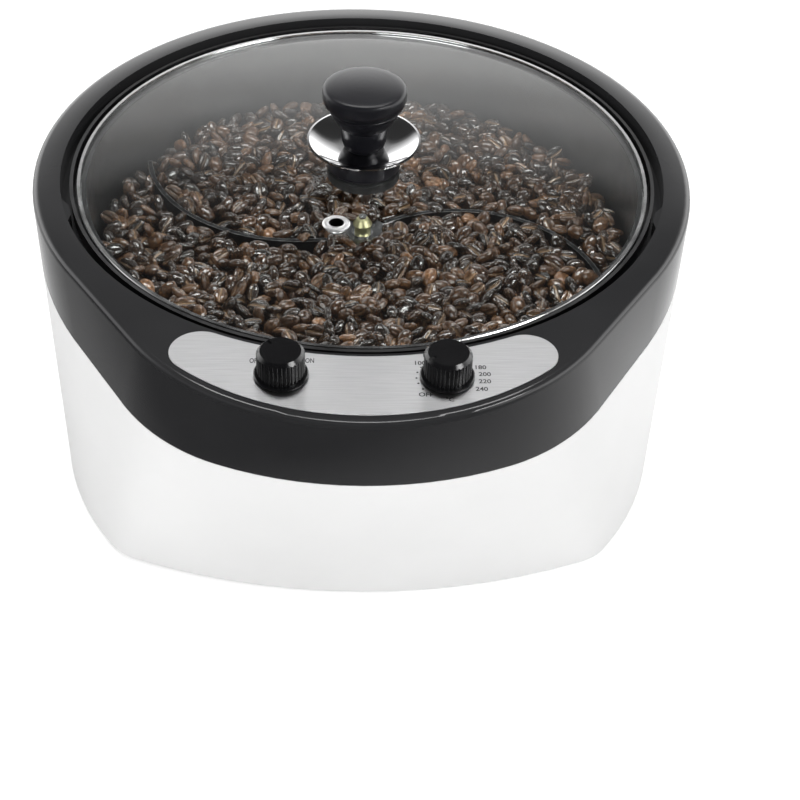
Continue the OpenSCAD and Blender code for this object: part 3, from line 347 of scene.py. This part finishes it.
def clear_glass():
    """Lid glass, which lets the lamps' light through to the beans."""
    paint = Paint("clear_glass", Roughness=0.0, Transmission_Weight=1.0, IOR=1.46, Specular_IOR_Level=0.3)
    paint.tint(paint.grain(GLASS_CLOUDS), (0.95, 0.97, 0.965), (0.97, 0.985, 0.98))
    clear = paint.nodes.new("ShaderNodeBsdfTransparent")
    clear.inputs["Color"].default_value = (0.92, 0.93, 0.93, 1)
    shadow = paint.nodes.new("ShaderNodeLightPath").outputs["Is Shadow Ray"]
    either = mixed(paint.nodes, paint.links, shadow, paint.shader, clear)
    paint.links.new(either.outputs["Shader"], paint.output.inputs["Surface"])
    return paint.material


# a bean's tone from 0 to 1, and its skin's colour there
BEAN_SKIN = (
    (0.0, (0.01, 0.005, 0.002)),
    (0.45, (0.045, 0.021, 0.009)),
    (0.8, (0.105, 0.05, 0.02)),
    (1.0, (0.22, 0.11, 0.05)),
)
# what the mottle multiplies the skin's colour by
BEAN_MOTTLE = ((NOISE_LOW, (0.55, 0.52, 0.5)), (NOISE_HIGH, (1.3, 1.25, 1.2)))
CREASE_SKIN = (0.4, 0.26, 0.15)


def roasted_bean():
    """Oily dark roast: each bean has its own tone, and its crease holds a paler skin."""
    paint = Paint(
        "roasted_bean", Specular_IOR_Level=0.2, Coat_Weight=1.0, Coat_Roughness=0.07, Coat_IOR=1.85
    )
    skin = paint.ramp(paint.attribute(BEAN_TONE), BEAN_SKIN)
    mottle = paint.grain(BEAN_MOTTLING, detail=5)
    mottled = paint.mix(1.0, skin, paint.ramp(mottle, BEAN_MOTTLE), "MULTIPLY")
    paint.cover(paint.attribute(BEAN_CREASE), mottled, CREASE_SKIN)
    paint.spread(mottle, "Roughness", 0.26, 0.5)
    paint.bump(mottle, 0.6 * MM, 0.9)
    paint.bump(paint.grain(BEAN_DENTS, detail=2), 0.4 * MM, socket="Coat Normal")
    return paint.material


def printed_ink():
    """Black ink of the words and dots on the plate."""
    paint = Paint("printed_ink", Roughness=0.5)
    paint.tint(paint.grain(INK_GRAIN), (0.004, 0.004, 0.004), (0.01, 0.01, 0.01))
    return paint.material


# darkest and palest colour, roughness, depth of the moulded grain in microns, and shine if it isn't 0.5
MOULDED = {
    "white_plastic": ((0.86, 0.86, 0.857), (0.89, 0.89, 0.887), 0.34, 20),
    "black_plastic": ((0.02, 0.02, 0.021), (0.025, 0.025, 0.026), 0.13, 2, 0.38),
    "knob_plastic": ((0.004, 0.004, 0.0045), (0.007, 0.007, 0.0075), 0.18, 10),
    "grip_plastic": ((0.005, 0.005, 0.007), (0.008, 0.008, 0.011), 0.33, 10, 0.4),
    "rubber": ((0.015, 0.015, 0.015), (0.025, 0.025, 0.025), 0.7, 50),
    "red_rubber": ((0.35, 0.05, 0.02), (0.42, 0.07, 0.03), 0.6, 30),
    "gear_plastic": ((0.78, 0.74, 0.62), (0.84, 0.8, 0.68), 0.45, 10),
    "pale_plastic": ((0.7, 0.68, 0.6), (0.76, 0.74, 0.66), 0.45, 10),
    "wire_cover": ((0.45, 0.08, 0.05), (0.52, 0.1, 0.06), 0.5, 10),
    "magnet": ((0.05, 0.05, 0.055), (0.07, 0.07, 0.075), 0.55, 40),
}
# darkest and palest colour, roughness, and depth of the marks in microns if it isn't 10
METALS = {
    "bright_steel": ((0.76, 0.76, 0.76), (0.84, 0.84, 0.84), 0.16),
    "plated_steel": ((0.58, 0.59, 0.6), (0.68, 0.69, 0.7), 0.32),
    "painted_steel": ((0.5, 0.51, 0.52), (0.58, 0.59, 0.6), 0.4),
    "case_metal": ((0.4, 0.41, 0.42), (0.48, 0.49, 0.5), 0.45),
    "heater_steel": ((0.28, 0.27, 0.26), (0.36, 0.34, 0.32), 0.4),
    "chrome": ((0.5, 0.5, 0.505), (0.56, 0.56, 0.565), 0.07, 1),
    "brass": ((0.66, 0.63, 0.36), (0.78, 0.75, 0.45), 0.42),
    "copper": ((0.6, 0.26, 0.14), (0.7, 0.32, 0.18), 0.35),
}


def slot_materials():
    """One material for each slot of the record."""
    return {
        **{name: moulded(name, *look) for name, look in MOULDED.items()},
        **{name: worked_metal(name, *look) for name, look in METALS.items()},
        "console_steel": brushed_steel(),
        "dark_coating": pan_coating(),
        "dark_casting": highlit_edge_casting(),
        "clear_glass": clear_glass(),
    }


SHARP_ANGLE = math.radians(28)
WELD = 0.01 * MM


def smoothing():
    """Modifier tree that welds the facets of a CAD node and shades it smooth between its sharp edges."""
    tree = bpy.data.node_groups.new("smooth_between_edges", "GeometryNodeTree")
    for direction in ("INPUT", "OUTPUT"):
        tree.interface.new_socket("Geometry", in_out=direction, socket_type="NodeSocketGeometry")
    weld = tree.nodes.new("GeometryNodeMergeByDistance")
    weld.inputs["Distance"].default_value = WELD
    angle = tree.nodes.new("GeometryNodeInputMeshEdgeAngle")
    sharp = tree.nodes.new("FunctionNodeCompare")
    sharp.operation = "GREATER_THAN"
    sharp.inputs["B"].default_value = SHARP_ANGLE
    tree.links.new(angle.outputs["Unsigned Angle"], sharp.inputs["A"])
    before = tree.links.new(tree.nodes.new("NodeGroupInput").outputs[0], weld.inputs["Geometry"]).to_node
    for domain, smooth, where in (("FACE", True, None), ("EDGE", True, None), ("EDGE", False, sharp)):
        shade = tree.nodes.new("GeometryNodeSetShadeSmooth")
        shade.domain = domain
        shade.inputs["Shade Smooth"].default_value = smooth
        if where:
            tree.links.new(where.outputs["Result"], shade.inputs["Selection"])
        tree.links.new(before.outputs["Geometry"], shade.inputs["Geometry"])
        before = shade
    tree.links.new(before.outputs["Geometry"], tree.nodes.new("NodeGroupOutput").inputs[0])
    return tree


def dress_nodes():
    """Gives each CAD node its own or its slot's material, and smooth faces between its edges."""
    materials = slot_materials()
    tree = smoothing()
    for part in frame["record"]["subparts"]:
        node = frame["nodes"][part["node"]]
        node.data.materials.clear()
        node.data.materials.append(OWN_MATERIALS.get(part["node"], materials[part["material_slot"]]))
        if "custom_normal" in node.data.attributes:
            node.data.attributes.remove(node.data.attributes["custom_normal"])
        node.modifiers.new("smooth", "NODES").node_group = tree


# ------------------------------------------------------------------ beans

# names of the numbers that the beans' points carry for their material
BEAN_TONE = "bean_tone"
BEAN_CREASE = "bean_crease"

# one bean
BEAN_HALF = Vector((5.5, 4.0, 2.8)) * MM   # half length, half width and height of the domed side
BEAN_FLAT = 1.8 * MM                       # depth of the creased side
CREASE_DEPTH = 1.3 * MM
# angles round a bean at which its points lie, close together at the crease
AROUND = (0, 30, 60, 90, 120, 150, 180, 208, 233, 252, 263, 270, 277, 288, 307, 332)
CREASE_WEIGHTS = {263: 0.35, 270: 1.0, 277: 0.35}   # share of the crease's depth at such an angle
CREASE_TWIST = 7                  # degrees that the creased side winds by, along the bean
TWIST_FROM = 200                  # angle from which it does
GIRTH_POWER = 0.86                # of the sine along the bean; less than 1 blunts its ends
FLAT_POWER = -0.35                # of the sine round it, which flattens the creased side
FLAT_FROM = 0.2                   # sine from which it does
WARP = Vector((0.1, 0.1, 0.12))   # how far shapes differ: leaning, pear-shaped, thick

# the bed
BED_R = 131.5 * MM       # its outer radius
HUB_R = 12.5 * MM        # its inner radius, where beans lie on the edge of the hub's disc
HUB_SLOPE_R = 24 * MM    # where it starts to rise towards the disc
BED_DROP = 1.6 * MM      # from the vanes' edges down to the middles of the top beans
BEAN_CLEAR = 2.2 * MM    # least distance from the middle of a bean to the stirrer
# depth of a layer below the top one, least gap between beans, rings to a bean
LAYERS = ((12.5 * MM, 8.0 * MM, 5), (5.6 * MM, 7.2 * MM, 6), (0.0, 5.7 * MM, 9))

# chance
SEED = 11
SHAPES = 6                       # shapes of bean in a layer
MOST_MISSES = 2500               # places tried in vain before the layer counts as full
UNEVEN = (-1.2 * MM, 0.9 * MM)   # down and up from the layer's height
SIZES = (0.88, 1.1)              # smallest and largest, as a share of the bean above
ROLL, PITCH = 0.8, 0.5           # spread of a bean's lean about its length and across it, in radians
COMMON_SHARE = 0.985             # share of beans whose tone is a random number to a power, times a most
COMMON_POWER, COMMON_MOST = 1.4, 0.8
RARE_TONES = (0.85, 1)           # least and most of the other beans' tones
CREASE_PALES = (0.2, 1.0)        # least and most of the creases' paler skin


def bean_shape(rings, warp):
    """Points, faces and crease weights of one bean along X, with its domed side up."""
    points, weights = [], []
    for i in range(1, rings):
        along = math.pi * i / rings
        for angle in AROUND:
            twist = CREASE_TWIST * math.sin(2 * along) if angle > TWIST_FROM else 0
            turn = math.radians(angle + twist)
            side, up = math.cos(turn), math.sin(turn)
            height = BEAN_HALF.z if up > 0 else BEAN_FLAT
            flat = abs(up) ** FLAT_POWER if up < -FLAT_FROM else 1
            in_crease = CREASE_WEIGHTS.get(angle, 0.0)
            girth = math.sin(along) ** GIRTH_POWER
            z = height * up * girth * flat + in_crease * CREASE_DEPTH * math.sin(along)
            x = BEAN_HALF.x * math.cos(along) * (1 + warp.x * side)
            y = BEAN_HALF.y * side * girth * (1 + warp.y * math.cos(along))
            points.append(Vector((x, y, z * (1 + warp.z))))
            weights.append(in_crease)
    n = len(AROUND)
    faces = [(i * n + j, i * n + (j + 1) % n, (i + 1) * n + (j + 1) % n, (i + 1) * n + j)
             for i in range(rings - 2) for j in range(n)]
    head, tail = len(points), len(points) + 1
    points += [Vector((BEAN_HALF.x, 0, 0)), Vector((-BEAN_HALF.x, 0, 0))]
    weights += [0.0, 0.0]
    faces += [(head, (j + 1) % n, j) for j in range(n)]
    last = (rings - 2) * n
    faces += [(tail, last + j, last + (j + 1) % n) for j in range(n)]
    return points, faces, weights


def scattered(chance, gap):
    """Places on the pan's disc at least gap apart, in a random order."""
    cells, places = {}, []
    misses = 0
    while misses < MOST_MISSES:
        r = math.sqrt(chance.uniform(HUB_R ** 2, BED_R ** 2))
        a = chance.uniform(0, 2 * math.pi)
        place = Vector((r * math.cos(a), r * math.sin(a)))
        cell = (math.floor(place.x / gap), math.floor(place.y / gap))
        near = [p for i in (-1, 0, 1) for j in (-1, 0, 1) for p in cells.get((cell[0] + i, cell[1] + j), ())]
        if any((p - place).length < gap for p in near):
            misses += 1
            continue
        misses = 0
        cells.setdefault(cell, []).append(place)
        places.append(place)
    return places


def bed_height(radius):
    """Height of the top layer's beans: level with the vanes' edges, and up on the hub's disc."""
    lift = min(1.0, max(0.0, (HUB_SLOPE_R - radius) / (HUB_SLOPE_R - HUB_R)))
    return VANE_TOP - BED_DROP + lift * (DISC_TOP + BEAN_FLAT / 2 - VANE_TOP + BED_DROP)


def turned(chance):
    """How a bean lies: either side up, leaning, and turned any way round."""
    flip = math.pi if chance.random() < 0.5 else 0
    tilt = Euler((chance.gauss(flip, ROLL), chance.gauss(0, PITCH), 0))
    return Matrix.Rotation(chance.uniform(0, 2 * math.pi), 3, "Z") @ tilt.to_matrix()


def drawn_tone(chance):
    """Tone of a bean: mostly dark, and now and then pale."""
    if chance.random() < COMMON_SHARE:
        return chance.random() ** COMMON_POWER * COMMON_MOST
    return chance.uniform(*RARE_TONES)


def bean_layer(chance, stirrer, depth, gap, rings):
    """Points, faces, tones and crease weights of one layer, clear of the stirrer."""
    warps = [Vector([chance.uniform(-1, 1) for _ in range(3)]) * WARP for _ in range(SHAPES)]
    shapes = [bean_shape(rings, warp) for warp in warps]
    points, faces, tones, creases = [], [], [], []
    for place in scattered(chance, gap):
        height = bed_height(place.length) - depth + chance.uniform(*UNEVEN)
        at = PAN_AXIS + Vector((place.x, place.y, height))
        _, _, _, near = stirrer.find_nearest(at)
        if near < BEAN_CLEAR:
            continue
        turn = turned(chance)
        size = chance.uniform(*SIZES)
        shape, shape_faces, weights = chance.choice(shapes)
        start = len(points)
        points += [at + turn @ (p * size) for p in shape]
        faces += [tuple(start + k for k in face) for face in shape_faces]
        tones += [drawn_tone(chance)] * len(shape)
        pale = chance.uniform(*CREASE_PALES)
        creases += [pale * w for w in weights]
    return points, faces, tones, creases


def make_beans():
    """The load of beans, which turns with the stirrer."""
    chance = random.Random(SEED)
    stirrer = BVHTree.FromObject(frame["nodes"]["stirrer"], bpy.context.evaluated_depsgraph_get())
    for number, layer in enumerate(LAYERS):
        points, faces, tones, creases = bean_layer(chance, stirrer, *layer)
        mesh = bpy.data.meshes.new(f"beans_{number}")
        mesh.from_pydata(points, [], faces)
        mesh.shade_smooth()
        mesh.attributes.new(BEAN_TONE, "FLOAT", "POINT").data.foreach_set("value", tones)
        mesh.attributes.new(BEAN_CREASE, "FLOAT", "POINT").data.foreach_set("value", creases)
        mesh.materials.append(BEAN_MATERIAL)
        beans = added(f"beans_{number}", mesh)
        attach(beans, "stirrer_drive")


# ------------------------------------------------------------------ lettering

DIGIT_H = 2.5 * MM
INK_RISE = 0.03 * MM
DOT_R = 0.5 * MM
DOT_SIDES = 16
INK_SPREAD = 0.02        # how far the strokes swell, as a share of the type's size
CURVE_STEPS = 4
# words and their middles on the plate, in millimetres from the pan's axis
SWITCH_WORDS = (("OFF", -46.6, -154.3), ("ON", -23.2, -153.9))
SWITCH_STRETCH = Vector((0.7, 1.2, 1))
THERMOSTAT_WORDS = (
    ("100", 23.9, -154.8), ("OFF", 25.7, -175.1), ("°C", 35.6, -178.0),
    ("120", 27.5, -149.6), ("140", 35.0, -147.6), ("160", 42.6, -149.6),
    ("180", 49.6, -157.2), ("200", 51.0, -161.7), ("220", 50.8, -166.3), ("240", 49.2, -171.2),
)
THERMOSTAT_DOTS = ((24.2, -157.7), (22.5, -161.0), (22.0, -164.7), (22.7, -168.1), (24.5, -171.7))


def word_points(text):
    """Flat mesh of a word, centred, with digits DIGIT_H high."""
    curve = bpy.data.curves.new("word", "FONT")
    curve.body = text
    curve.align_x = "CENTER"
    curve.resolution_u = CURVE_STEPS
    curve.offset = INK_SPREAD
    word = added("word", curve)
    mesh = bpy.data.meshes.new_from_object(word.evaluated_get(bpy.context.evaluated_depsgraph_get()))
    bpy.data.objects.remove(word)
    height = max(v.co.y for v in mesh.vertices)
    across = [v.co.x for v in mesh.vertices]
    middle = (max(across) + min(across)) / 2
    mesh.transform(Matrix.Scale(DIGIT_H / height, 4) @ Matrix.Translation((-middle, -height / 2, 0)))
    return mesh


def make_marks(name, words, dots, stretch=Vector((1, 1, 1))):
    """Printed words and dots as one thin layer just above the plate."""
    shape = bmesh.new()
    for text, x, y in words:
        mesh = word_points(text)
        mesh.transform(Matrix.Diagonal(stretch).to_4x4())
        mesh.transform(Matrix.Translation(PAN_AXIS + Vector((x * MM, y * MM, PLATE_TOP + INK_RISE))))
        shape.from_mesh(mesh)
    for x, y in dots:
        at = PAN_AXIS + Vector((x * MM, y * MM, PLATE_TOP + INK_RISE))
        place = Matrix.Translation(at)
        bmesh.ops.create_circle(shape, cap_ends=True, segments=DOT_SIDES, radius=DOT_R, matrix=place)
    mesh = bpy.data.meshes.new(name)
    shape.to_mesh(mesh)
    shape.free()
    mesh.materials.append(INK_MATERIAL)
    marks = added(name, mesh)
    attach(marks, "housing")


# ------------------------------------------------------------------ floor, backdrop and light

FLOOR_HALF = 6.0
FLOOR_COLOUR = (0.8, 0.8, 0.8, 1)
FLOOR_GLOW = 0.42       # so that the floor is white to the camera and still keeps a soft shadow
# What polished surfaces mirror is dim in front and bright behind: where along BRIGHTER_TO it starts
# and ends to rise, and its brightness there.
BRIGHTER_TO = (0.4, 1.0, 0.0)
FLOOR_MIRRORED = (-0.22, 0.12, 0.0, 1.15)
WORLD_MIRRORED = (-0.5, 0.1, 0.3, 2.6)
ROOM_LIGHT = 0.5
# elevation in degrees, and the share of that brightness there
CEILING = (
    (0, 1.0), (22, 1.0), (25, 0.6), (28, 0.4), (31, 0.22), (34, 0.05), (37, 0.02), (90, 0.015),
)
# a lamp's name, place, width and depth, watts, and whether polished surfaces mirror it
LAMPS = (
    ("key_lamp", (1.45, -1.0, 1.45), (0.9, 0.4), 14, True),
    ("fill_lamp", (-0.8, -1.6, 1.0), (1.2, 1.2), 18, False),
    ("top_lamp", (0.0, 0.5, 1.9), (1.8, 0.35), 20, True),
)
LAMPS_AIM = PAN_AXIS + Vector((0, 0, 0.1))


def make_floor():
    """White floor that keeps the object's shadow; polished surfaces mirror it dark in front, pale behind."""
    mesh = bpy.data.meshes.new("floor")
    corners = [(x * FLOOR_HALF, y * FLOOR_HALF, 0) for x, y in ((-1, -1), (1, -1), (1, 1), (-1, 1))]
    mesh.from_pydata(corners, [], [(0, 1, 2, 3)])
    floor = added("floor", mesh)
    material = bpy.data.materials.new("floor")
    nodes, links = emptied(material)
    plain = nodes.new("ShaderNodeBsdfDiffuse")
    plain.inputs["Color"].default_value = FLOOR_COLOUR
    glow = emitter(nodes, "ShaderNodeEmission", FLOOR_GLOW)
    both = nodes.new("ShaderNodeAddShader")
    links.new(plain.outputs["BSDF"], both.inputs[0])
    links.new(glow.outputs[0], both.inputs[1])
    light_path = nodes.new("ShaderNodeLightPath").outputs
    seen = mixed(nodes, links, seen_ray(nodes, links), plain, both)
    mirrored = emitter(nodes, "ShaderNodeEmission", 1.0)
    links.new(front_to_back(nodes, links, "Object", FLOOR_MIRRORED), mirrored.inputs["Strength"])
    seen = mixed(nodes, links, light_path["Is Glossy Ray"], seen, mirrored)
    output = nodes.new("ShaderNodeOutputMaterial")
    links.new(seen.outputs[0], output.inputs["Surface"])
    mesh.materials.append(material)


def seen_ray(nodes, links):
    """1 for a ray from the camera that met only glass or mirrors on its way, 0 after a matt surface."""
    ray = nodes.new("ShaderNodeLightPath").outputs
    value = maths(nodes, links, "MAXIMUM", ray["Is Camera Ray"], ray["Is Glossy Ray"])
    value = maths(nodes, links, "MAXIMUM", value, ray["Is Transmission Ray"])
    bright = maths(nodes, links, "LESS_THAN", ray["Diffuse Depth"], 0.5)
    return maths(nodes, links, "MULTIPLY", value, bright)


def front_to_back(nodes, links, source, levels):
    """Brightness that rises along a texture coordinate: where from, where to, and its two levels."""
    place = nodes.new("ShaderNodeTexCoord").outputs[source]
    along = maths(nodes, links, "DOT_PRODUCT", place, BRIGHTER_TO, "ShaderNodeVectorMath")
    return ranged(nodes, links, along, *levels)


def make_world():
    """White to the camera and near the horizon of reflections, dim overhead as a studio's ceiling is."""
    world = bpy.data.worlds.new("studio")
    bpy.context.scene.world = world
    nodes, links = emptied(world)
    direction = nodes.new("ShaderNodeTexCoord")
    parts = nodes.new("ShaderNodeSeparateXYZ")
    ceiling = nodes.new("ShaderNodeValToRGB")
    ceiling.color_ramp.interpolation = "EASE"
    fill_ramp(ceiling.color_ramp, [(math.sin(math.radians(up)), (level,) * 3) for up, level in CEILING])
    links.new(direction.outputs["Generated"], parts.inputs["Vector"])
    links.new(parts.outputs["Z"], ceiling.inputs["Fac"])
    room = emitter(nodes, "ShaderNodeBackground", ROOM_LIGHT)
    white = emitter(nodes, "ShaderNodeBackground", 1.0)
    mirrored = emitter(nodes, "ShaderNodeBackground", 1.0)
    links.new(ceiling.outputs["Color"], mirrored.inputs["Color"])
    links.new(front_to_back(nodes, links, "Generated", WORLD_MIRRORED), mirrored.inputs["Strength"])
    mirrors_met = nodes.new("ShaderNodeLightPath").outputs["Glossy Depth"]
    in_mirror = maths(nodes, links, "GREATER_THAN", mirrors_met, 0.5)
    seen = mixed(nodes, links, in_mirror, white, mirrored)
    surface = mixed(nodes, links, seen_ray(nodes, links), room, seen)
    output = nodes.new("ShaderNodeOutputWorld")
    links.new(surface.outputs[0], output.inputs["Surface"])


def make_lamp(name, at, size, watts, mirrored):
    """A soft box turned to the pan."""
    data = bpy.data.lights.new(name, "AREA")
    data.shape = "RECTANGLE"
    data.size, data.size_y = size
    data.energy = watts
    lamp = added(name, data)
    lamp.location = at
    lamp.visible_glossy = mirrored
    lamp.rotation_mode = "QUATERNION"
    lamp.rotation_quaternion = (LAMPS_AIM - lamp.location).to_track_quat("-Z", "Y")


def make_light():
    """Plain studio light, with colours as they are."""
    bpy.context.scene.view_settings.view_transform = "Standard"
    make_world()
    for lamp in LAMPS:
        make_lamp(*lamp)


# ------------------------------------------------------------------ scene

BEAN_MATERIAL = roasted_bean()
INK_MATERIAL = printed_ink()
OWN_MATERIALS = {"vent_eyelet": shaded_bore_steel()}

make_camera()
make_light()
make_floor()
dress_nodes()
make_beans()
make_marks("switch_marks", SWITCH_WORDS, (), SWITCH_STRETCH)
make_marks("thermostat_marks", THERMOSTAT_WORDS, THERMOSTAT_DOTS)
